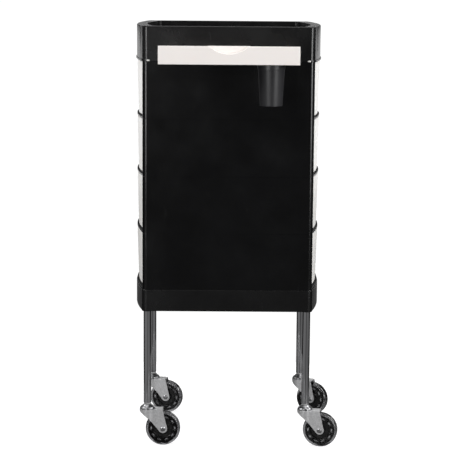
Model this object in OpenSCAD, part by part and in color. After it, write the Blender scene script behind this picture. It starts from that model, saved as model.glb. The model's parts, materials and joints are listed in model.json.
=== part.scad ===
// Four-drawer spa trolley on chrome legs with swivel casters.
// Millimetres, +Z up, origin on the floor under the middle of the body.
// The end with the pull-out side tray faces -Y; the drawers open along X.

/* [Body] */
// Height of the top rim above the floor
total_h = 860; // [820:1:900]
// Length of the body across its straight ends, along Y
body_l = 302; // [290:1:330]
// Width of the body at its straight ends, along X
body_w = 343; // [335:1:380]
// How far the long sides bow outward at mid length
side_bow = 19; // [14:1:24]
// Wall thickness of the black mouldings
shell_t = 3; // [2.5:0.1:3.4]
// Radius of the body's upright corners
corner_r = 10; // [8:1:14]

/* [Modules] */
// Height of the base moulding's underside
base_z = 284.2; // [270:0.1:300]
// Height of the base moulding
base_h = 44.3; // [38:0.1:50]
// Height of one drawer frame
frame_h = 115.5; // [105:0.1:125]
// Number of drawers, one above another
drawer_count = 4; // [4:1:4]
// Thickness of each frame's floor and ledge
ledge_t = 4.2; // [3:0.1:6]
// Depth of the recess in the top tray
recess_h = 28; // [22:1:29]

/* [Drawers] */
// Wall thickness of a drawer
drawer_t = 2.6; // [2:0.1:3.2]
// Clearance around a drawer
drawer_gap = 1.2; // [0.6:0.1:2]
// Backward lean of a drawer's front, in degrees
front_lean = 1.7; // [0:0.1:2.5]
// Width of a drawer's finger scoop
scoop_w = 92; // [70:1:110]
// Depth of a drawer's finger scoop
scoop_h = 18; // [12:1:22]

/* [Side tray] */
// Width of the side tray's front plate
tray_w = 273; // [260:1:276]
// Length of the side tray
tray_l = 280; // [240:1:285]
// Height of the side tray's front plate
tray_h = 35.5; // [30:0.1:37]
// Height of the side tray behind its front plate
tray_body_h = 18.5; // [16:0.1:24]
// How far the side tray is pulled out
tray_out = 115; // [100:1:140]
// Distance of the tool cup from the middle of the tray
cup_x = 82.5; // [60:0.5:92]
// Distance of the tool cup behind the tray's front
cup_inset = 40; // [38:1:46]
// Depth of the tool cup below the tray
cup_h = 81.5; // [70:0.5:110]
// Radius of the tool cup under its collar
cup_top_r = 26.9; // [24:0.1:27]
// Radius of the tool cup at its bottom
cup_foot_r = 22; // [18:0.1:23]

/* [Legs] */
// Radius of the leg tubes
tube_r = 8; // [7.5:0.1:8.5]
// Wall thickness of the leg tubes
tube_t = 1.2; // [1:0.1:1.5]
// Distance of the tube axes from the middle, along X
leg_x = 162.3; // [161.5:0.1:162.5]
// Distance of the tube axes from the middle, along Y
leg_y = 131.2; // [129:0.1:133]
// Height of the tubes' lower ends
tube_z = 89; // [88:0.5:92]

/* [Casters] */
// Radius of the wheels
wheel_r = 35.5; // [34:0.1:36]
// Width of the tyres
tyre_w = 18; // [16:0.5:18.4]
// Distance from swivel axis to wheel axis
trail = 32; // [30:0.5:34]
// Outside width of the fork across its cheeks
fork_w = 24; // [23.6:0.1:26]
// Thickness of the fork's steel sheet
fork_t = 2.2; // [1.8:0.1:2.3]
// Number of oval windows in a wheel's rim
slot_count = 10; // [8:1:12]

/* [Hidden] */
$fn = 96;
eps = 0.01;
// Depth by which solids of one moulding run into each other
bite = 2;
CORNERS = ["front_left", "front_right", "rear_left", "rear_right"];
CORNER_SIGN = [[-1, -1], [1, -1], [-1, 1], [1, 1]];
// Angle at which each caster stands, from +X about +Z
CASTER_YAW = [0, -10, -12, -28];
LEVELS = [1:drawer_count];

half_l = body_l / 2;
half_w = body_w / 2;
// Radius of the bowed sides, and where its centre lies on X
bow_r = (half_l * half_l + side_bow * side_bow) / (2 * side_bow);
bow_c = half_w + side_bow - bow_r;
// How far the ledges, the base and the top tray stay inside that bow, at each side
ledge_in = 2.2;
base_in = 0.8;
lip_out = 1.6;
stack_z = base_z + base_h;
top_z = stack_z + drawer_count * frame_h;

// Recess in the top tray, and the width of the rim along its sides and ends
floor_t = 3;
recess_z = total_h - recess_h;
rim_side = 21.5;
rim_end = 4;
recess_corner_r = 9;

// Posts that carry the tubes at a frame's corners
post_in_x = 150;
post_in_y = 119;
post_wall = 2.5;
post_corner_r = 9;
post_proud = 0.5;
boss_t = 2.4;
bore_gap = 0.15;
bore_r = tube_r + bore_gap;
boss_r = bore_r + boss_t;
base_boss_r = boss_r + 1;
rail_guide_h = 30;
rib_t = 2;
rib_h = 8;
rib_pitch = 75;

// Drawers
drawer_half = post_in_y - drawer_gap;
drawer_lift = 0.4;
drawer_headroom = 2.6;
drawer_h = frame_h - ledge_t - drawer_headroom;
front_tip = half_w + side_bow - ledge_in;
front_bow = 15;
front_t = 3;
side_inset = 0.5;
scoop_in = 13;
scoop_start = 0.2;
drawer_floor_back = 1;

// Side tray
tray_gap = 0.5;
tray_z = top_z + tray_gap;
tray_wall = 2.5;
tray_front_t = 3.2;
tray_front_y = -half_l - tray_out;
tray_scoop_w = 76;
tray_scoop_h = 15;
tray_body_in = 7;
flange_t = 2.2;
plate_over = 1.5;
mouth_gap = 2;
mouth_over = 2.5;
mouth_w = tray_w - 2 * plate_over;
mouth_h = tray_gap + tray_body_h + mouth_over;
tray_body_w = mouth_w - 2 * mouth_gap;
rail_t = 3;
rail_l = 270;
rail_gap = 0.6;
rail_web_x = tray_body_w / 2 + rail_gap;
rail_top_w = 12;
rail_screw_in = 7.5;
rail_screw_end = 25;
cup_y = tray_front_y + cup_inset;
cup_hole_r = 27.8;
collar_r = 27.4;
collar_h = 10.5;
cup_lip_r = 31;
cup_lip_t = 2.4;
cup_wall = 2;
notch_w = 7;
notch_h = 3;
notch_x = 160.3;
lip_t = 3;
tab_gap = 0.3;
tab_leg_t = 1.8;
tab_leg_h = 12;

// Legs
tube_top = recess_z - floor_t - 2;
plug_head_t = 1.5;
plug_l = 18;
insert_l = 26;
screw_r = 2;
screw_head_r = 4;
screw_head_t = 2.2;
leg_screw_z = base_z + 16;
leg_screw_l = 6;
foot_boss_h = 2.5;

// Casters
plate_z = 73.5;
plate_t = 2.5;
crown_r = 16;
stem_r = 5;
run_gap = 0.05;
ball_r = 2;
ball_ring_r = 10;
ball_count = 12;
cap_z = plate_z + plate_t + 0.3;
cap_h = 10;
cap_skirt_t = 1.6;
race_h = 4.2;
neck_r = 6.6;
king_head_r = 8;
king_head_t = 3.2;
axle_r = 3;
bolt_head_r = 5;
bolt_rim_t = 1.4;
bolt_dome_t = 1.6;
bolt_dome_r = 3.4;
nut_r = 5.6;
nut_t = 5;
sleeve_r = 5;
cheek_end_r = 8.8;
knee = [3.5, 56.5];
tail_x = 31.5;
core_r = 30.5;
slot_ring_r = 24.2;
slot_l = 8;
slot_w = 3.4;
skin_t = 1;
skin_in_r = 21;
web_half = 3;
rim_slope = 1.2;
hub_r = 10.5;
hub_gap = 0.3;
tread_round = 5;

// ---------- shared outlines and shapes ----------

// Body outline: straight ends, bowed sides and round corners, inset all round and once more at the sides
module body_outline(inset = 0, round_r = corner_r, side = 0) {
    l = half_l - inset;
    r = bow_r - inset;
    c = bow_c - side;
    cy = l - round_r;
    cx = c + sqrt((r - round_r) * (r - round_r) - cy * cy);
    intersection() {
        translate([c, 0]) circle(r, $fn = 720);
        translate([-c, 0]) circle(r, $fn = 720);
        union() {
            square([4 * half_w, 2 * cy], center = true);
            square([2 * cx, 2 * l], center = true);
            for (sx = [-1, 1], sy = [-1, 1])
                translate([sx * cx, sy * cy]) circle(round_r);
        }
    }
}

module rounded_rect(w, l, r) {
    square([w - 2 * r, l], center = true);
    square([w, l - 2 * r], center = true);
    for (sx = [-1, 1], sy = [-1, 1])
        translate([sx * (w / 2 - r), sy * (l / 2 - r)]) circle(r);
}

module at_legs() {
    for (s = CORNER_SIGN)
        translate([s[0] * leg_x, s[1] * leg_y]) children();
}

// Half-moon of the given width and depth, hanging from the X axis down -Y
module half_moon(w, h, grow = 0) {
    r = (w * w / 4 + h * h) / (2 * h);
    intersection() {
        translate([0, r - h]) circle(r + grow, $fn = 180);
        translate([-w, -h - 2 * grow]) square([2 * w, h + 2 * grow]);
    }
}

// Turns an outline drawn in X and Y into a plate that stands along X and Z
module upright(t) {
    rotate([90, 0, 0]) linear_extrude(t, center = true) children();
}

module ring(r_out, r_in, h) {
    linear_extrude(h) difference() {
        circle(r_out);
        circle(r_in);
    }
}

// ---------- black mouldings ----------

module tube_holes() {
    at_legs() translate([0, 0, -1]) cylinder(r = bore_r, h = total_h);
}

module corner_post_outline() {
    w = half_w + post_proud - post_in_x;
    l = half_l - post_in_y;
    difference() {
        translate([post_in_x + w / 2, post_in_y + l / 2]) rounded_rect(w, l, post_corner_r);
        difference() {
            translate([post_in_x + w / 2, post_in_y + l / 2])
                rounded_rect(w - 2 * post_wall, l - 2 * post_wall, post_corner_r - post_wall);
            translate([leg_x, leg_y]) circle(boss_r);
        }
        translate([leg_x, leg_y]) circle(bore_r);
    }
}

module frame_walls_outline() {
    for (sy = [0, 1]) mirror([0, sy]) {
        translate([0, half_l - shell_t / 2])
            square([2 * (post_in_x + bite), shell_t], center = true);
        translate([post_in_x, half_l - post_wall])
            square([post_corner_r + bite, post_wall]);
        translate([-post_in_x - post_corner_r - bite, half_l - post_wall])
            square([post_corner_r + bite, post_wall]);
        corner_post_outline();
        mirror([1, 0]) corner_post_outline();
    }
}

module drawer_frame(n) {
    z = stack_z + (n - 1) * frame_h;
    color([0.07, 0.07, 0.075]) {
        difference() {
            translate([0, 0, z]) linear_extrude(ledge_t) {
                body_outline(side = ledge_in);
                frame_walls_outline();
            }
            tube_holes();
        }
        translate([0, 0, z + ledge_t - eps])
            linear_extrude(frame_h - ledge_t + eps) frame_walls_outline();
        for (sy = [-1, 1]) translate([0, 0, z + ledge_t + rail_guide_h / 2 - eps]) {
            translate([0, sy * (post_in_y + post_wall / 2), 0])
                cube([2 * post_in_x + bite, post_wall, rail_guide_h], center = true);
            for (x = [-rib_pitch, 0, rib_pitch])
                translate([x, sy * (half_l + post_in_y) / 2, 0])
                    cube([rib_t, half_l - post_in_y - shell_t, rail_guide_h], center = true);
        }
    }
}

module base_tray() {
    color([0.08, 0.08, 0.085]) {
        difference() {
            translate([0, 0, base_z]) linear_extrude(base_h) body_outline(side = base_in);
            translate([0, 0, base_z - 1])
                linear_extrude(base_h + 1 - ledge_t) body_outline(shell_t, corner_r - shell_t, base_in);
            tube_holes();
        }
        // stiffening ribs under the top plate
        translate([0, 0, base_z + base_h - ledge_t - rib_h / 2 + eps]) for (k = [-1:1]) {
            translate([0, k * rib_pitch, 0]) cube([2 * (half_w - bite), rib_t, rib_h], center = true);
            translate([k * rib_pitch, 0, 0]) cube([rib_t, 2 * (half_l - bite), rib_h], center = true);
        }
        difference() {
            translate([0, 0, base_z - foot_boss_h]) intersection() {
                linear_extrude(base_h + foot_boss_h - ledge_t + eps) at_legs() circle(base_boss_r);
                linear_extrude(2 * base_h) body_outline(side = base_in);
            }
            tube_holes();
            leg_screw_holes();
        }
    }
}

// Outline of the recess on top, with the same bow as the sides
module recess_outline(grow = 0) {
    body_outline(rim_end - grow, recess_corner_r + grow, lip_out + rim_side - rim_end);
}

module top_tray() {
    boss_z = 2 * notch_h;
    color([0.08, 0.08, 0.085]) {
        difference() {
            union() {
                translate([0, 0, top_z]) linear_extrude(total_h - top_z) body_outline(side = lip_out);
                // lip along the foot of the bowed sides
                translate([0, 0, top_z]) linear_extrude(lip_t) body_outline();
            }
            // the recess on top
            translate([0, 0, recess_z]) linear_extrude(recess_h + 1) recess_outline();
            // the hollow below, under the recess and up inside the side rims
            translate([0, 0, top_z - 1]) linear_extrude(recess_z - floor_t - top_z + 1)
                body_outline(shell_t, corner_r - shell_t, lip_out);
            translate([0, 0, top_z]) linear_extrude(total_h - shell_t - top_z) difference() {
                body_outline(shell_t, corner_r - shell_t, lip_out);
                recess_outline(shell_t);
            }
            // the mouth for the side tray and the two small notches beside it
            translate([0, -half_l, top_z + mouth_h / 2 - eps])
                cube([mouth_w, 4 * shell_t, mouth_h + 2 * eps], center = true);
            for (sx = [-1, 1])
                translate([sx * notch_x, -half_l, top_z + notch_h / 2 - eps])
                    cube([notch_w, 4 * shell_t, notch_h + 2 * eps], center = true);
            for (sx = [0, 1]) mirror([sx, 0, 0])
                rail_screw_places() cylinder(r = screw_r, h = rail_t + bite);
        }
        // blind sockets for the tops of the tubes
        translate([0, 0, top_z + boss_z]) difference() {
            intersection() {
                linear_extrude(recess_z - top_z - boss_z - floor_t + eps) at_legs() circle(boss_r);
                linear_extrude(total_h) body_outline(side = lip_out);
            }
            at_legs() translate([0, 0, -1]) cylinder(r = bore_r, h = tube_top - top_z);
        }
    }
}

// White tabs that snap the top tray to the uppermost frame, seen in the two notches
module snap_tabs() {
    w = notch_w - 2 * tab_gap;
    y = -half_l + shell_t + tab_gap;
    color([0.93, 0.925, 0.91]) for (sx = [-1, 1]) translate([sx * notch_x - w / 2, 0, top_z]) {
        translate([0, -half_l + tab_gap, 0]) cube([w, shell_t + tab_leg_t, notch_h - tab_gap]);
        translate([0, y, 0]) cube([w, tab_leg_t, tab_leg_h]);
    }
}

// ---------- white drawers ----------

// Curved front of a drawer, seen from above, bulging towards +X
module front_arc(t) {
    half = drawer_half;
    r = (half * half + front_bow * front_bow) / (2 * front_bow);
    translate([front_tip - r, 0]) intersection() {
        difference() {
            circle(r, $fn = 720);
            circle(r - t, $fn = 720);
        }
        translate([0, -half]) square([2 * r, 2 * half]);
    }
}

// Finger scoop: a block from start to scoop_in behind a front's face, and the half-moon hollow in it
module scoop_block(w, h, start, wall) {
    translate([0, (start + scoop_in) / 2, 0]) upright(scoop_in - start) half_moon(w, h, wall);
}

module scoop_hollow(w, h, wall) {
    translate([0, -wall, 0]) upright(2 * scoop_in) half_moon(w, h);
}

module drawer(n) {
    z = stack_z + (n - 1) * frame_h + ledge_t + drawer_lift;
    end_x = front_tip - front_bow - front_t / 2;
    foot_x = end_x - drawer_h * tan(front_lean);
    color([0.93, 0.925, 0.91]) translate([0, 0, z]) {
        linear_extrude(drawer_t) drawer_floor_outline();
        for (sy = [-1, 1])
            translate([0, sy * (drawer_half - side_inset - drawer_t / 2), 0]) upright(drawer_t)
                polygon([[-foot_x, 0], [foot_x, 0], [end_x, drawer_h], [-end_x, drawer_h]]);
        for (end = [0, 1]) mirror([end, 0, 0]) difference() {
            union() {
                intersection() {
                    leaning_front() translate([0, 0, -front_t])
                        linear_extrude(drawer_h + 2 * front_t) front_arc(front_t);
                    linear_extrude(drawer_h) square([4 * half_w, body_l], center = true);
                }
                at_scoop() scoop_block(scoop_w, scoop_h, front_t + scoop_start, drawer_t);
            }
            at_scoop() scoop_hollow(scoop_w, scoop_h, drawer_t);
        }
    }
}

module at_scoop() {
    translate([front_tip, 0, drawer_h]) rotate([0, 0, 90]) children();
}

// Leans a drawer's front about its top edge
module leaning_front() {
    translate([front_tip, 0, drawer_h]) rotate([0, front_lean, 0])
        translate([-front_tip, 0, -drawer_h]) children();
}

module drawer_floor_outline() {
    half = drawer_half;
    foot_tip = front_tip - drawer_h * sin(front_lean) - drawer_floor_back;
    r = (half * half + front_bow * front_bow) / (2 * front_bow);
    intersection() {
        translate([foot_tip - r, 0]) circle(r, $fn = 720);
        translate([r - foot_tip, 0]) circle(r, $fn = 720);
        square([4 * half_w, 2 * (half - side_inset)], center = true);
    }
}

// ---------- side tray and tool cup ----------

module side_tray() {
    inner_w = tray_body_w - 2 * tray_body_in;
    body_top = tray_z + tray_body_h;
    top = tray_z + tray_h;
    color([0.93, 0.91, 0.89]) {
        // floor and walls
        difference() {
            translate([-inner_w / 2, tray_front_y, tray_z]) cube([inner_w, tray_l, tray_body_h]);
            translate([-inner_w / 2 + tray_wall, tray_front_y + tray_front_t, tray_z + tray_wall])
                cube([inner_w - 2 * tray_wall, tray_l - tray_front_t - tray_wall, tray_h]);
            tray_front_cut(top);
            translate([cup_x, cup_y, tray_z - 1]) cylinder(r = cup_hole_r, h = tray_h);
        }
        // front plate with its finger scoop
        difference() {
            union() {
                translate([-tray_w / 2, tray_front_y, tray_z]) cube([tray_w, tray_front_t, tray_h]);
                translate([0, tray_front_y, top])
                    scoop_block(tray_scoop_w, tray_scoop_h, tray_front_t / 2, tray_wall);
            }
            tray_front_cut(top);
        }
        // side flanges that hang on the rails
        for (sx = [-1, 1])
            translate([sx * (inner_w + tray_body_in) / 2, tray_front_y + tray_l / 2, body_top - flange_t / 2])
                cube([tray_body_in, tray_l - 2 * eps, flange_t], center = true);
    }
}

module tray_front_cut(top) {
    translate([0, tray_front_y, top]) scoop_hollow(tray_scoop_w, tray_scoop_h, tray_wall);
}

// Two angle rails under the top tray that carry the side tray's flanges
module tray_rails() {
    shelf_top = tray_z + tray_body_h - flange_t - rail_gap;
    ceiling = recess_z - floor_t;
    color([0.1, 0.1, 0.1]) for (sx = [0, 1]) mirror([sx, 0, 0]) difference() {
        union() {
            translate([rail_web_x, -rail_l / 2, shelf_top - rail_t])
                cube([rail_t, rail_l, ceiling - shelf_top + rail_t]);
            translate([rail_web_x - tray_body_in + 2 * rail_gap, -rail_l / 2, shelf_top - rail_t])
                cube([tray_body_in, rail_l, rail_t]);
            translate([rail_web_x, -rail_l / 2, ceiling - rail_t]) cube([rail_top_w, rail_l, rail_t]);
        }
        rail_screw_places() cylinder(r = screw_r, h = 4 * rail_t, center = true);
    }
}

module rail_screw_places() {
    z = recess_z - floor_t - rail_t;
    for (sy = [-1, 1])
        translate([rail_web_x + rail_screw_in, sy * (rail_l / 2 - rail_screw_end), z]) children();
}

module rail_screws() {
    color([0.7, 0.7, 0.72]) for (sx = [0, 1]) mirror([sx, 0, 0])
        rail_screw_places() {
            translate([0, 0, -screw_head_t]) cylinder(r = screw_head_r, h = screw_head_t);
            cylinder(r = screw_r, h = rail_t + bite);
        }
}

module tool_cup() {
    lip_z = tray_z + tray_wall;
    foot_z = tray_z - cup_h;
    color([0.09, 0.09, 0.095]) translate([cup_x, cup_y, 0]) difference() {
        union() {
            translate([0, 0, foot_z]) cylinder(r1 = cup_foot_r, r2 = cup_top_r, h = cup_h);
            translate([0, 0, tray_z - collar_h]) cylinder(r = collar_r, h = collar_h + tray_wall);
            translate([0, 0, lip_z]) cylinder(r = cup_lip_r, h = cup_lip_t);
        }
        translate([0, 0, foot_z + cup_wall])
            cylinder(r1 = cup_foot_r - cup_wall, r2 = cup_top_r - cup_wall, h = cup_h - cup_wall);
        translate([0, 0, tray_z - eps])
            cylinder(r = cup_top_r - cup_wall, h = tray_h);
    }
}

// ---------- legs ----------

module leg_screw_holes() {
    for (s = CORNER_SIGN)
        translate([s[0] * leg_x, s[1] * leg_y, leg_screw_z])
            rotate([0, -s[0] * 90, 0]) cylinder(r = screw_r, h = 20);
}

module leg_tube(i) {
    s = CORNER_SIGN[i];
    color([0.8, 0.8, 0.82]) difference() {
        translate([s[0] * leg_x, s[1] * leg_y, tube_z])
            ring(tube_r, tube_r - tube_t, tube_top - tube_z);
        leg_screw_holes();
    }
}

module leg_screws() {
    color([0.7, 0.7, 0.72]) for (s = CORNER_SIGN)
        translate([s[0] * leg_x, s[1] * leg_y, leg_screw_z]) rotate([0, -s[0] * 90, 0]) {
            translate([0, 0, base_boss_r - leg_screw_l]) cylinder(r = screw_r, h = leg_screw_l);
            translate([0, 0, base_boss_r]) cylinder(r = screw_head_r, h = screw_head_t);
        }
}

module tube_top_plugs() {
    color([0.12, 0.12, 0.12]) translate([0, 0, tube_top - plug_l]) at_legs() {
        cylinder(r = tube_r - tube_t, h = plug_l);
        translate([0, 0, plug_l]) cylinder(r = tube_r, h = plug_head_t);
    }
}

module tube_foot_inserts() {
    color([0.6, 0.6, 0.6]) translate([0, 0, tube_z]) at_legs()
        ring(tube_r - tube_t, stem_r, insert_l);
}

// ---------- casters ----------

module at_caster(i) {
    s = CORNER_SIGN[i];
    translate([s[0] * leg_x, s[1] * leg_y, 0]) rotate([0, 0, CASTER_YAW[i]]) children();
}

module at_wheel(i) {
    at_caster(i) translate([trail, 0, wheel_r]) rotate([90, 0, 0]) children();
}

module caster_stem(i) {
    top = tube_z + insert_l - 1;
    low = plate_z - king_head_t - run_gap;
    color([0.75, 0.75, 0.77]) at_caster(i) {
        translate([0, 0, low]) cylinder(r = stem_r, h = top - low);
        translate([0, 0, low]) cylinder(r = king_head_r, h = king_head_t);
        translate([0, 0, cap_z + cap_h]) cylinder(r = neck_r, h = tube_z - cap_z - cap_h);
    }
}

// Domed cover over the ball race, fixed on the stem
module swivel_cap(i) {
    r = crown_r - 0.6;
    color([0.45, 0.45, 0.47]) at_caster(i) translate([0, 0, cap_z]) rotate_extrude() polygon([
        [stem_r, cap_h], [neck_r + 0.6, cap_h], [neck_r + 2, cap_h - 1.2], [r - 4.5, cap_h - 3.4],
        [r - 1, cap_h - 6], [r, cap_h - 8], [r, 0], [r - cap_skirt_t, 0],
        [r - cap_skirt_t, race_h], [stem_r, race_h]
    ]);
}

module swivel_balls() {
    color([0.8, 0.8, 0.8]) for (i = [0:3]) at_caster(i) for (k = [1:ball_count])
        rotate([0, 0, k * 360 / ball_count])
            translate([ball_ring_r, 0, plate_z + plate_t + ball_r + run_gap]) sphere(ball_r, $fn = 24);
}

// Where the line from point p touches the circle of radius r round c; side is 1 or -1
function touch(p, c, r, side) =
    let (d = c - p, dist = norm(d), turn = asin(r / dist), a = atan2(d[1], d[0]) + side * turn,
         reach = sqrt(dist * dist - r * r))
    p + reach * [cos(a), sin(a)];

module cheek_outline() {
    axle = [trail, wheel_r];
    top = plate_z + plate_t;
    union() {
        polygon([
            [-crown_r - 1, top], [-crown_r - 1, plate_z - 1], knee,
            touch(knee, axle, cheek_end_r, -1), axle,
            touch([tail_x, top], axle, cheek_end_r, 1), [tail_x, top]
        ]);
        translate(axle) circle(cheek_end_r);
    }
}

module fork_plan(inset = 0) {
    circle(crown_r - inset);
    translate([0, -fork_w / 2 + inset]) square([trail + 20, fork_w - 2 * inset]);
}

module caster_fork(i) {
    top = plate_z + plate_t;
    color([0.66, 0.66, 0.68]) at_caster(i) difference() {
        union() {
            intersection() {
                linear_extrude(top) difference() {
                    fork_plan();
                    fork_plan(fork_t);
                }
                upright(4 * crown_r) cheek_outline();
            }
            translate([0, 0, plate_z]) linear_extrude(plate_t) intersection() {
                fork_plan();
                translate([-2 * crown_r, -2 * crown_r]) square([2 * crown_r + tail_x, 4 * crown_r]);
            }
        }
        cylinder(r = stem_r + run_gap, h = total_h / 4);
        translate([trail, 0, wheel_r]) rotate([90, 0, 0])
            cylinder(r = axle_r + run_gap, h = 2 * fork_w, center = true);
    }
}

module axle_bolt(i) {
    color([0.85, 0.85, 0.86]) at_wheel(i) {
        translate([0, 0, -fork_w / 2 - nut_t - 1]) cylinder(r = axle_r, h = fork_w + nut_t + 1);
        translate([0, 0, fork_w / 2]) cylinder(r = bolt_head_r, h = bolt_rim_t);
        translate([0, 0, fork_w / 2 + bolt_rim_t - eps])
            cylinder(r1 = bolt_head_r, r2 = bolt_dome_r, h = bolt_dome_t);
    }
}

module axle_nut(i) {
    color([0.7, 0.7, 0.72]) at_wheel(i)
        translate([0, 0, -fork_w / 2 - nut_t]) difference() {
            cylinder(r = nut_r, h = nut_t, $fn = 6);
            translate([0, 0, -1]) cylinder(r = axle_r, h = nut_t + 2);
        }
}

module axle_sleeve(i) {
    l = fork_w - 2 * fork_t;
    color([0.7, 0.7, 0.72]) at_wheel(i) translate([0, 0, -l / 2]) ring(sleeve_r, axle_r + run_gap, l);
}

// Oval windows through a wheel's rim
module rim_slots(h) {
    for (k = [1:slot_count]) rotate([0, 0, k * 360 / slot_count]) translate([slot_ring_r, 0, 0]) {
        cube([slot_w, slot_l - slot_w, h], center = true);
        for (s = [-1, 1])
            translate([0, s * (slot_l - slot_w) / 2, 0]) cylinder(r = slot_w / 2, h = h, center = true);
    }
}

module wheel_core(i) {
    half = tyre_w / 2 - skin_t;
    hub_half = fork_w / 2 - fork_t - hub_gap;
    bore = sleeve_r + run_gap;
    rim_in = skin_in_r - rim_slope;
    color([0.05, 0.05, 0.055]) at_wheel(i) difference() {
        rotate_extrude() polygon([
            [bore, -hub_half], [hub_r, -hub_half], [hub_r + 1, -web_half], [rim_in - rim_slope, -web_half],
            [rim_in, -half], [core_r, -half], [core_r, half], [rim_in, half],
            [rim_in - rim_slope, web_half], [hub_r + 1, web_half], [hub_r, hub_half], [bore, hub_half]
        ]);
        rim_slots(tyre_w + 2);
    }
}

// Tyre with round shoulders, moulded over the rim and through its windows
module tyre(i) {
    half = tyre_w / 2;
    color([0.42, 0.42, 0.42]) at_wheel(i) {
        rotate_extrude() difference() {
            union() {
                translate([skin_in_r, -half]) square([wheel_r - skin_in_r - tread_round, tyre_w]);
                translate([skin_in_r, -half + tread_round])
                    square([wheel_r - skin_in_r, tyre_w - 2 * tread_round]);
                for (s = [-1, 1])
                    translate([wheel_r - tread_round, s * (half - tread_round)]) circle(tread_round);
            }
            translate([0, -half + skin_t]) square([core_r, tyre_w - 2 * skin_t]);
        }
        rim_slots(tyre_w - 2 * skin_t + 2 * eps);
    }
}

// ---------- the assembly ----------

top_tray();
base_tray();
side_tray();
tray_rails();
rail_screws();
tool_cup();
snap_tabs();
tube_top_plugs();
tube_foot_inserts();
leg_screws();
swivel_balls();
for (n = LEVELS) {
    drawer_frame(n);
    drawer(n);
}
for (i = [0:3]) {
    leg_tube(i);
    caster_stem(i);
    swivel_cap(i);
    caster_fork(i);
    axle_bolt(i);
    axle_nut(i);
    axle_sleeve(i);
    wheel_core(i);
    tyre(i);
}
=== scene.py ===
"""Looks of the spa trolley: each visible piece is rebuilt from its CAD node with finished edges."""
import json
import math

import bmesh
import bpy
from mathutils import Matrix, Vector

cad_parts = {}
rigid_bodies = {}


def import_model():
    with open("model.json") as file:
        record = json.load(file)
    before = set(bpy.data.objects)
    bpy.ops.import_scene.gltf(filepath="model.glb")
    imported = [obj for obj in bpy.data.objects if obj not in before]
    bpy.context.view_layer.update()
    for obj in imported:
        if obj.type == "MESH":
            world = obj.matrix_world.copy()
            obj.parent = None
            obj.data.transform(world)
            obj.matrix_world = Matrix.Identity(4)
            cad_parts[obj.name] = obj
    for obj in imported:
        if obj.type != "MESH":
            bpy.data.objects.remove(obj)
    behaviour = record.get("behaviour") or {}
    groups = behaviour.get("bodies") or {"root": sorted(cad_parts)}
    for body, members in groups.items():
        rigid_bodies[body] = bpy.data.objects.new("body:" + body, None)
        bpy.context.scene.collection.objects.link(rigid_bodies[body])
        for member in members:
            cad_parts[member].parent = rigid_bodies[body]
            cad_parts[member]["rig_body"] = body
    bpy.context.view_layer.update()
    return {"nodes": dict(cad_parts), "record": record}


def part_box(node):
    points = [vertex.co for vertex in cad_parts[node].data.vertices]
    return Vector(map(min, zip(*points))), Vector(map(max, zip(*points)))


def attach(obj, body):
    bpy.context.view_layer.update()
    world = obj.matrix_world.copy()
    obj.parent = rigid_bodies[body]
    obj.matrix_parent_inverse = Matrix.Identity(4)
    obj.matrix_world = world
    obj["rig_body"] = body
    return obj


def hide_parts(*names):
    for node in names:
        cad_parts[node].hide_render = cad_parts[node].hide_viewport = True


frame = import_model()

MM = 0.001
CORNERS = ("front_left", "front_right", "rear_left", "rear_right")
LEVELS = (1, 2, 3, 4)

# places on the CAD bodies that the edge picks below refer to
LEDGE = 4.2 * MM
LEDGE_FROM = 172.5 * MM
RECESS_FLOOR = 832 * MM
BASE_FOOT = 2.5 * MM

# how meshes are cleaned, split and rounded
WELD = 0.002 * MM
FLAT_ANGLE = 0.4
SMOOTH_ANGLE = 35.0
SHARP_ANGLE = 25.0
REACH = 0.05 * MM
MATTE_REACH = 0.3 * MM
UPWARD = 0.7


# ---------- mesh helpers ----------

def add_object(name, bm, material):
    """Turns a bmesh into a linked object with one material and smooth faces split at sharp edges."""
    mesh = bpy.data.meshes.new(name)
    bm.normal_update()
    for face in bm.faces:
        face.smooth = True
    limit = math.radians(SMOOTH_ANGLE)
    for edge in bm.edges:
        edge.smooth = len(edge.link_faces) == 2 and edge.calc_face_angle(0.0) < limit
    bm.to_mesh(mesh)
    bm.free()
    mesh.materials.append(material)
    obj = bpy.data.objects.new(name, mesh)
    bpy.context.scene.collection.objects.link(obj)
    return obj


def cad_shape(node):
    """A welded copy of a CAD node's mesh, with its flat faces merged."""
    bm = bmesh.new()
    bm.from_mesh(frame["nodes"][node].data)
    bmesh.ops.remove_doubles(bm, verts=bm.verts, dist=WELD)
    bmesh.ops.dissolve_limit(
        bm, angle_limit=math.radians(FLAT_ANGLE), verts=bm.verts, edges=bm.edges, delimit={"NORMAL"}
    )
    bmesh.ops.recalc_face_normals(bm, faces=bm.faces)
    return bm


def round_edges(bm, width, pick, segments):
    """Rounds the sharp convex edges that pick(edge, middle) accepts."""
    limit = math.radians(SHARP_ANGLE)
    edges = []
    for edge in bm.edges:
        if not edge.is_convex or edge.calc_face_angle(0.0) < limit:
            continue
        middle = (edge.verts[0].co + edge.verts[1].co) / 2
        if pick(edge, middle):
            edges.append(edge)
    bmesh.ops.bevel(
        bm, geom=edges, offset=width, offset_type="OFFSET", segments=segments, profile=0.5,
        affect="EDGES", clamp_overlap=False, miter_outer="ARC",
    )


# ---------- material helpers ----------

def scaled(color, gain, lift=0.0):
    """A colour made lighter or darker."""
    return tuple(min(1.0, c * gain + lift) for c in color)


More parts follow.
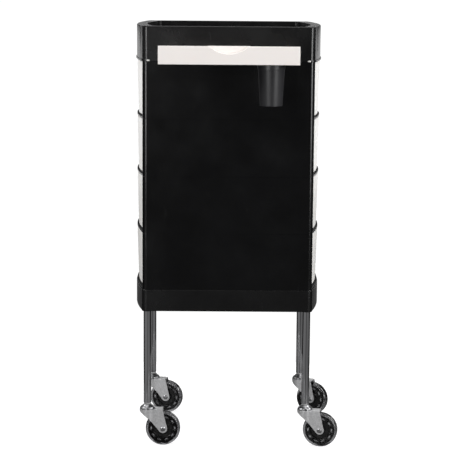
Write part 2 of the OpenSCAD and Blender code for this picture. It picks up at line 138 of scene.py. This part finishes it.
class Surface:
    """One procedural material built around a Principled shader."""

    def __init__(self, name, color, roughness, metallic=0.0, level=0.5):
        self.material = bpy.data.materials.new(name)
        self.material.use_nodes = True
        self.tree = self.material.node_tree
        self.shader = self.tree.nodes["Principled BSDF"]
        self.set(Base_Color=(*color, 1.0), Roughness=roughness, Metallic=metallic)
        self.set(Specular_IOR_Level=level)
        self.coords = self.tree.nodes.new("ShaderNodeTexCoord").outputs["Object"]

    def set(self, **values):
        for key, value in values.items():
            self.shader.inputs[key.replace("_", " ")].default_value = value

    def link(self, output, target):
        self.tree.links.new(output, self.shader.inputs[target])

    def node(self, kind, inputs=(), **settings):
        node = self.tree.nodes.new(kind)
        for key, value in settings.items():
            setattr(node, key, value)
        for key, value in dict(inputs).items():
            if isinstance(value, bpy.types.NodeSocket):
                self.tree.links.new(value, node.inputs[key])
            else:
                node.inputs[key].default_value = value
        return node

    def stretched(self, x=1.0, y=1.0, z=1.0):
        """Object coordinates scaled differently along each axis."""
        return self.node("ShaderNodeMapping", {"Vector": self.coords, "Scale": (x, y, z)}).outputs[0]

    def noise(self, scale, detail=3.0, roughness=0.5, vector=None, distortion=0.0):
        inputs = {"Vector": vector or self.coords, "Scale": scale, "Detail": detail,
                  "Roughness": roughness, "Distortion": distortion}
        return self.node("ShaderNodeTexNoise", inputs).outputs["Fac"]

    def cells(self, scale):
        inputs = {"Vector": self.coords, "Scale": scale}
        return self.node("ShaderNodeTexVoronoi", inputs, feature="F1").outputs["Distance"]

    def ranged(self, value, low, high, to_low=0.0, to_high=1.0):
        inputs = {0: value, 1: low, 2: high, 3: to_low, 4: to_high}
        return self.node("ShaderNodeMapRange", inputs).outputs[0]

    def times(self, a, b):
        return self.node("ShaderNodeMath", {0: a, 1: b}, operation="MULTIPLY").outputs[0]

    def plus(self, a, b):
        return self.node("ShaderNodeMath", {0: a, 1: b}, operation="ADD").outputs[0]

    def blend(self, factor, first, second):
        node = self.node("ShaderNodeMix", data_type="RGBA")
        pairs = ((node.inputs[0], factor), (node.inputs[6], first), (node.inputs[7], second))
        for socket, value in pairs:
            if isinstance(value, bpy.types.NodeSocket):
                self.tree.links.new(value, socket)
            elif isinstance(value, tuple):
                socket.default_value = (*value, 1.0)
            else:
                socket.default_value = value
        return node.outputs[2]

    def edges(self, radius):
        """About 1 on convex and concave edges narrower than radius, 0 on flat faces."""
        soft = self.node("ShaderNodeBevel", {"Radius": radius}, samples=4).outputs[0]
        true = self.node("ShaderNodeNewGeometry").outputs["Normal"]
        dot = self.node("ShaderNodeVectorMath", {0: soft, 1: true}, operation="DOT_PRODUCT")
        return self.ranged(dot.outputs["Value"], 1.0, 1.0 - 1.0 / 6.0)

    def bumps(self, *layers):
        """Chains bump nodes; each layer is (height, strength, distance in metres)."""
        normal = None
        for height, strength, distance in layers:
            inputs = {"Height": height, "Strength": strength, "Distance": distance}
            if normal is not None:
                inputs["Normal"] = normal
            normal = self.node("ShaderNodeBump", inputs).outputs[0]
        self.link(normal, "Normal")


def moulded_black(name, dark, light, roughness, level=0.3):
    """Textured black moulding: fine spark grain, soft sink marks, rubbed edges, a little dust."""
    s = Surface(name, dark, roughness, level=level)
    cloud = s.noise(9.0, 4.0, 0.6)
    grain = s.noise(2400.0, 2.0, 0.6)
    rub = s.edges(0.9 * MM)
    scuffs = s.ranged(s.noise(60.0, 6.0, 0.7, s.stretched(1.0, 1.0, 0.25)), 0.62, 0.8)
    body = s.blend(s.ranged(cloud, 0.35, 0.7), dark, light)
    worn = s.blend(s.times(rub, 0.45), body, scaled(light, 3.2, 0.006))
    s.link(s.blend(s.times(scuffs, 0.12), worn, (0.03, 0.03, 0.031)), "Base Color")
    clouded = s.ranged(cloud, 0.3, 0.75, roughness - 0.05, roughness + 0.06)
    scuffed = s.plus(clouded, s.times(scuffs, 0.08))
    s.link(s.plus(scuffed, s.times(rub, -0.08)), "Roughness")
    s.bumps((grain, 0.25, 0.03 * MM), (s.noise(14.0, 1.0), 0.12, 0.25 * MM))
    return s.material


def moulded_white(name, color, warm, roughness):
    """Smooth white moulding: faint mottling, orange peel, handling haze, painted shade darkening its
    edges and creases.
    """
    s = Surface(name, color, roughness, level=0.45)
    s.set(Subsurface_Weight=0.08, Subsurface_Scale=0.002, Subsurface_Radius=(1.0, 0.9, 0.8))
    cloud = s.noise(7.0, 4.0, 0.55)
    haze = s.ranged(s.noise(34.0, 5.0, 0.65, distortion=0.4), 0.48, 0.75)
    body = s.blend(s.ranged(cloud, 0.35, 0.7), color, warm)
    specks = s.ranged(s.cells(420.0), 0.05, 0.03)
    marked = s.blend(s.times(specks, 0.05), body, (0.45, 0.42, 0.38))
    # painted shade: convex and concave edges are darkened toward a dimmed warm white
    s.link(s.blend(s.times(s.edges(0.7 * MM), 0.1), marked, scaled(warm, 0.8)), "Base Color")
    clouded = s.ranged(cloud, 0.3, 0.7, roughness - 0.03, roughness + 0.05)
    s.link(s.plus(clouded, s.times(haze, 0.1)), "Roughness")
    s.bumps((s.noise(900.0, 2.0), 0.12, 0.02 * MM), (s.noise(45.0, 2.0), 0.1, 0.06 * MM))
    return s.material


def chrome(name, tint):
    """Polished chrome tube: draw lines along Z, which also paint reflection stripes, wipe marks and
    faint hazing.
    """
    s = Surface(name, tint, 0.07, metallic=1.0)
    # draw lines along Z; their contrast is strong enough to also paint bands of reflected light and
    # dark down the tube
    draw_lines_and_painted_stripes = s.noise(330.0, 3.0, 0.6, s.stretched(1.0, 1.0, 0.004))
    smears = s.ranged(s.noise(28.0, 5.0, 0.6, s.stretched(1.0, 1.0, 0.5), 0.6), 0.45, 0.75)
    pits = s.ranged(s.cells(950.0), 0.06, 0.03)
    # painted reflection: the draw lines halve or keep the tint, which stripes the tube like reflected
    # studio light
    drawn_and_painted_stripes = s.blend(s.ranged(draw_lines_and_painted_stripes, 0.36, 0.62), scaled(tint, 0.5), tint)
    s.link(s.blend(s.times(smears, 0.25), drawn_and_painted_stripes, (0.6, 0.6, 0.61)), "Base Color")
    s.link(s.plus(s.ranged(smears, 0.0, 1.0, 0.03, 0.09), s.times(pits, 0.2)), "Roughness")
    s.bumps((draw_lines_and_painted_stripes, 0.06, 0.01 * MM), (s.noise(16.0, 2.0), 0.06, 0.2 * MM))
    return s.material


def plated_steel(name, tint, roughness, metallic=1.0):
    """Zinc plated sheet steel: crystalline blotches, press marks, scratches, lighter worn edges."""
    s = Surface(name, tint, roughness, metallic=metallic)
    blotch = s.cells(310.0)
    cloud = s.noise(80.0, 5.0, 0.65)
    scratch = s.ranged(s.noise(240.0, 4.0, 0.7, s.stretched(0.06, 1.0, 1.0)), 0.6, 0.72)
    mottle = s.ranged(s.plus(s.times(blotch, 0.5), cloud), 0.5, 1.2)
    body = s.blend(mottle, tint, scaled(tint, 0.62))
    s.link(s.blend(s.times(s.edges(0.6 * MM), 0.35), body, scaled(tint, 1.35)), "Base Color")
    clouded = s.ranged(cloud, 0.3, 0.75, roughness - 0.06, roughness + 0.1)
    s.link(s.plus(clouded, s.times(scratch, 0.12)), "Roughness")
    fine = s.noise(1500.0, 2.0)
    s.bumps((fine, 0.1, 0.02 * MM), (scratch, 0.15, 0.02 * MM), (cloud, 0.1, 0.05 * MM))
    return s.material


def glossy_nylon(name, color):
    """Glossy black nylon of the wheel cores, with flow lines and rolled-in dust."""
    s = Surface(name, color, 0.25, level=0.5)
    dust = s.ranged(s.noise(160.0, 5.0, 0.65), 0.5, 0.8)
    s.link(s.blend(s.times(dust, 0.35), color, (0.06, 0.057, 0.052)), "Base Color")
    s.link(s.ranged(dust, 0.0, 1.0, 0.2, 0.5), "Roughness")
    s.bumps((s.noise(900.0, 2.0), 0.15, 0.02 * MM), (s.noise(60.0, 2.0), 0.15, 0.08 * MM))
    return s.material


def smoky_tyre(name, color):
    """Clear smoky polyurethane: tinted through its depth, with fine scuffs and rolled-in dust."""
    s = Surface(name, color, 0.06, level=0.5)
    s.set(Transmission_Weight=1.0, IOR=1.42)
    dust = s.ranged(s.noise(120.0, 5.0, 0.65), 0.5, 0.85)
    s.link(s.blend(s.times(dust, 0.25), color, scaled(color, 0.6)), "Base Color")
    s.link(s.ranged(dust, 0.0, 1.0, 0.05, 0.22), "Roughness")
    s.bumps((s.noise(400.0, 2.0), 0.03, 0.02 * MM), (dust, 0.04, 0.03 * MM))
    return s.material


# ---------- materials, one for each slot of the record and two of the black mouldings' own ----------

PANEL_DARK = (0.0012, 0.0012, 0.0014)
PANEL_LIGHT = (0.0017, 0.0018, 0.0021)
TRAY_DARK = (0.0026, 0.0026, 0.0027)
TRAY_LIGHT = (0.0034, 0.0034, 0.0036)
CUP_DARK = (0.011, 0.011, 0.0125)
CUP_LIGHT = (0.015, 0.015, 0.0165)
RAIL_DARK = (0.02, 0.02, 0.021)
RAIL_LIGHT = (0.028, 0.028, 0.029)
PLUG_DARK = (0.02, 0.02, 0.02)
PLUG_LIGHT = (0.03, 0.03, 0.03)
DRAWER_WHITE = (0.83, 0.82, 0.8)
DRAWER_WARM = (0.81, 0.795, 0.765)
TRAY_WHITE = (0.84, 0.8, 0.775)
TRAY_WARM = (0.82, 0.775, 0.745)

MATERIALS = {
    "black_plastic": moulded_black("black_plastic", PANEL_DARK, PANEL_LIGHT, 0.2, level=0.42),
    "tray_black": moulded_black("tray_black", TRAY_DARK, TRAY_LIGHT, 0.26, level=0.45),
    "ledge_top": moulded_black("ledge_top", PANEL_DARK, PANEL_LIGHT, 0.7, level=0.1),
    "rail_plastic": moulded_black("rail_plastic", RAIL_DARK, RAIL_LIGHT, 0.45),
    "plug_plastic": moulded_black("plug_plastic", PLUG_DARK, PLUG_LIGHT, 0.45),
    "cup_plastic": moulded_black("cup_plastic", CUP_DARK, CUP_LIGHT, 0.4, level=0.42),
    "white_plastic": moulded_white("white_plastic", DRAWER_WHITE, DRAWER_WARM, 0.28),
    "tray_white": moulded_white("tray_white", TRAY_WHITE, TRAY_WARM, 0.3),
    "chrome_tube": chrome("chrome_tube", (0.78, 0.78, 0.8)),
    "zinc_steel": plated_steel("zinc_steel", (0.7, 0.7, 0.71), 0.34, metallic=0.6),
    "bright_steel": plated_steel("bright_steel", (0.36, 0.36, 0.37), 0.3),
    "fastener_steel": plated_steel("fastener_steel", (0.68, 0.68, 0.68), 0.36, metallic=0.7),
    "core_plastic": glossy_nylon("core_plastic", (0.006, 0.006, 0.0065)),
    "tyre_pu": smoky_tyre("tyre_pu", (0.15, 0.15, 0.155)),
}

slot_of = {part["node"]: part["material_slot"] for part in frame["record"]["subparts"]}


# ---------- pieces ----------

def finish_node(node, layers, material=None, matte=None):
    """Stands in for a CAD node; each layer is (width, pick, segments) of edges to round.

    Upward faces whose middle matte(middle) accepts get the dull black of a grained ledge top.
    """
    bm = cad_shape(node)
    for width, pick, segments in layers:
        round_edges(bm, width, pick, segments)
    slot = slot_of[node]
    obj = add_object(node + "_finished", bm, MATERIALS[material or slot])
    if matte:
        obj.data.materials.append(MATERIALS["ledge_top"])
        for face in obj.data.polygons:
            if face.normal.z > UPWARD and matte(face.center):
                face.material_index = 1
    even = obj.modifiers.new("even_normals", "WEIGHTED_NORMAL")
    even.keep_sharp = True
    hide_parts(node)
    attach(obj, frame["nodes"][node]["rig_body"])


def near(value, target, reach=REACH):
    return abs(value - target) < reach


def level_at(edge, z):
    return all(near(v.co.z, z) for v in edge.verts)


def on_front(edge, y):
    return all(near(v.co.y, y) for v in edge.verts)


def anywhere(edge, middle):
    return True


# top tray: rolled rim, softened mouth and underside
tray_low, tray_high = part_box("top_tray")


def outer_rim(middle):
    return abs(middle.x) > tray_high.x - 12 * MM or abs(middle.y) > tray_high.y - 2 * MM


finish_node("top_tray", [
    (2.6 * MM, lambda e, m: level_at(e, tray_high.z) and outer_rim(m), 5),
    (1.2 * MM, lambda e, m: level_at(e, tray_high.z) and not outer_rim(m), 4),
    (0.7 * MM, lambda e, m: level_at(e, tray_low.z) or on_front(e, tray_low.y), 3),
], "tray_black", matte=lambda c: near(c.z, RECESS_FLOOR, MATTE_REACH))

# base tray: softened top and bottom edges
base_low, base_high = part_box("base_tray")
finish_node("base_tray", [
    (1.2 * MM, lambda e, m: level_at(e, base_high.z), 3),
    (1.0 * MM, lambda e, m: level_at(e, base_low.z + BASE_FOOT) or level_at(e, base_low.z), 3),
], "tray_black", matte=lambda c: near(c.z, base_high.z, MATTE_REACH))


def finish_frame(node):
    """A drawer frame: round ledge rims, eased seams to the frames above and below."""
    low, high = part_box(node)

    def ledge_rim(edge, middle):
        return middle.z < low.z + LEDGE + 0.1 * MM and abs(middle.x) > LEDGE_FROM

    def seam(edge, middle):
        return level_at(edge, high.z) or (level_at(edge, low.z) and abs(middle.x) < LEDGE_FROM)

    finish_node(node, [(0.9 * MM, ledge_rim, 3), (0.6 * MM, seam, 2)],
                matte=lambda c: near(c.z, low.z + LEDGE, MATTE_REACH))


for n in LEVELS:
    finish_frame(f"drawer_frame_{n}")
for n in LEVELS:
    finish_node(f"drawer_{n}", [(0.7 * MM, anywhere, 3)])
finish_node("side_tray", [(0.8 * MM, anywhere, 3)])
finish_node("tool_cup", [(1.0 * MM, anywhere, 4)])
finish_node("snap_tabs", [(0.4 * MM, anywhere, 3)])
finish_node("tray_rails", [(0.4 * MM, anywhere, 2)])
for node in ("rail_screws", "leg_screws", "tube_top_plugs", "tube_foot_inserts"):
    finish_node(node, [(0.3 * MM, anywhere, 2)])
finish_node("swivel_balls", [])
CORNER_PIECES = (
    ("leg_tube", 0.3 * MM, 2),
    ("caster_stem", 0.5 * MM, 3),
    ("swivel_cap", 0.4 * MM, 3),
    ("caster_fork", 0.4 * MM, 2),
    ("axle_bolt", 0.5 * MM, 4),
    ("axle_nut", 0.5 * MM, 2),
    ("axle_sleeve", 0.3 * MM, 2),
    ("wheel_core", 0.4 * MM, 2),
    ("tyre", 0.3 * MM, 2),
)
for corner in CORNERS:
    for kind, width, segments in CORNER_PIECES:
        finish_node(f"{kind}_{corner}", [(width, anywhere, segments)])


# ---------- floor, lights, camera ----------

FLOOR_RADIUS = 0.62
FLOOR_SPOKES = 96
SKY_SEEN = 1.05
ROOM_DIM = 0.03
# (y of the direction, level) from the camera's side, -1, to the far side, 1
STRIPES = (
    (-1.0, 0.09), (-0.85, 0.22), (-0.6, 0.08), (-0.3, 0.3), (0.0, 0.02), (0.15, 0.003),
    (0.82, 0.003), (0.9, 0.13), (1.0, 0.15),
)
# (name, place, aim, width, height, radiance)
SOFTBOXES = (
    ("overhead", (0.0, -0.5, 2.8), (0.0, 0.0, 0.4), 2.0, 2.0, 2.0),
    ("side_left", (-2.1, -0.2, 1.95), (0.0, 0.0, 0.5), 1.5, 1.6, 6.8),
    ("side_right", (2.1, -0.2, 1.95), (0.0, 0.0, 0.5), 1.5, 1.6, 7.6),
    ("front_left", (-1.4, -3.0, 1.05), (0.0, 0.0, 1.0), 1.1, 1.6, 7.7),
    ("front_right", (2.2, -2.5, 1.05), (0.0, 0.0, 1.0), 1.1, 1.6, 9.2),
    ("backdrop_low", (0.0, 3.5, 0.35), (0.0, 0.0, 0.35), 4.0, 0.7, 0.75),
    ("backdrop_high", (0.0, 3.5, 1.85), (0.0, 0.0, 0.8), 4.0, 1.0, 1.0),
)


def direct_view(tree):
    """1 for camera rays and for rays seen through a clear material, 0 for reflections and bounces."""
    path = tree.nodes.new("ShaderNodeLightPath")
    either = tree.nodes.new("ShaderNodeMath")
    either.operation = "MAXIMUM"
    tree.links.new(path.outputs["Is Camera Ray"], either.inputs[0])
    tree.links.new(path.outputs["Is Transmission Ray"], either.inputs[1])
    return either.outputs[0]


def floor_disc():
    """A pale floor that is bright in direct view and dim in the object's gloss."""
    bm = bmesh.new()
    bmesh.ops.create_circle(bm, cap_ends=True, radius=FLOOR_RADIUS, segments=FLOOR_SPOKES)
    surface = Surface("floor_white", (0.4, 0.4, 0.4), 0.6, level=0.1)
    surface.link(surface.ranged(surface.noise(3.0, 2.0), 0.3, 0.7, 0.55, 0.65), "Roughness")
    seen = direct_view(surface.tree)
    surface.link(surface.blend(seen, (0.06, 0.06, 0.06), (0.4, 0.4, 0.4)), "Base Color")
    surface.set(Emission_Color=(1.0, 1.0, 1.0, 1.0))
    surface.link(surface.ranged(seen, 0.0, 1.0, 0.06, 0.8), "Emission Strength")
    add_object("floor", bm, surface.material)


def softbox(name, place, aim, width, height, radiance):
    """A rectangular light, out of the camera's sight, that looks equally bright at any size."""
    light = bpy.data.lights.new(name, "AREA")
    light.shape = "RECTANGLE"
    light.size, light.size_y = width, height
    light.energy = radiance * math.pi * width * height
    obj = bpy.data.objects.new(name, light)
    obj.location = place
    obj.rotation_euler = (Vector(aim) - Vector(place)).to_track_quat("-Z", "Y").to_euler()
    obj.visible_camera = False
    bpy.context.scene.collection.objects.link(obj)


def studio_world():
    """White in direct view; reflections see a dim room with upright stripes below eye level."""
    world = bpy.data.worlds.new("studio")
    world.use_nodes = True
    tree = world.node_tree
    link = tree.links.new

    def ranged(*values):
        node = tree.nodes.new("ShaderNodeMapRange")
        link(values[0], node.inputs[0])
        for socket, value in zip(node.inputs[1:], values[1:]):
            socket.default_value = value
        return node.outputs[0]

    def blend(factor, first):
        node = tree.nodes.new("ShaderNodeMix")
        node.data_type = "RGBA"
        link(factor, node.inputs[0])
        link(first, node.inputs[6])
        return node

    split = tree.nodes.new("ShaderNodeSeparateXYZ")
    link(tree.nodes.new("ShaderNodeTexCoord").outputs["Generated"], split.inputs[0])
    y, z = split.outputs[1], split.outputs[2]
    ramp = tree.nodes.new("ShaderNodeValToRGB")
    link(ranged(y, -1.0, 1.0, 0.0, 1.0), ramp.inputs[0])
    stops = ramp.color_ramp.elements
    while len(stops) < len(STRIPES):
        stops.new(0.5)
    for stop, (place, level) in zip(stops, STRIPES):
        stop.position = (place + 1.0) / 2.0
        stop.color = (level, level, level, 1.0)
    room = blend(ranged(z, -0.08, 0.04, 0.0, 1.0), ramp.outputs[0])
    link(ranged(y, 0.3, 0.95, ROOM_DIM, ROOM_DIM * 0.25), room.inputs[7])
    sky = blend(direct_view(tree), room.outputs[2])
    sky.inputs[7].default_value = (SKY_SEEN, SKY_SEEN, SKY_SEEN, 1.0)
    link(sky.outputs[2], tree.nodes["Background"].inputs["Color"])
    bpy.context.scene.world = world


floor_disc()
studio_world()
for box in SOFTBOXES:
    softbox(*box)

CAMERA_PLACE = (-0.011623, -3.526761, 0.991904)
CAMERA_PITCH, CAMERA_ROLL, CAMERA_YAW = 0.158522, 0.007702, 0.004875
camera_data = bpy.data.cameras.new("camera")
camera_data.lens = 132.787
camera_data.sensor_width = 36.0
camera = bpy.data.objects.new("camera", camera_data)
camera.matrix_world = (
    Matrix.Translation(CAMERA_PLACE)
    @ Matrix.Rotation(-CAMERA_YAW, 4, "Z")
    @ Matrix.Rotation(math.pi / 2 - CAMERA_PITCH, 4, "X")
    @ Matrix.Rotation(CAMERA_ROLL, 4, "Z")
)
bpy.context.scene.collection.objects.link(camera)
bpy.context.scene.camera = camera
bpy.context.scene.view_settings.view_transform = "Standard"
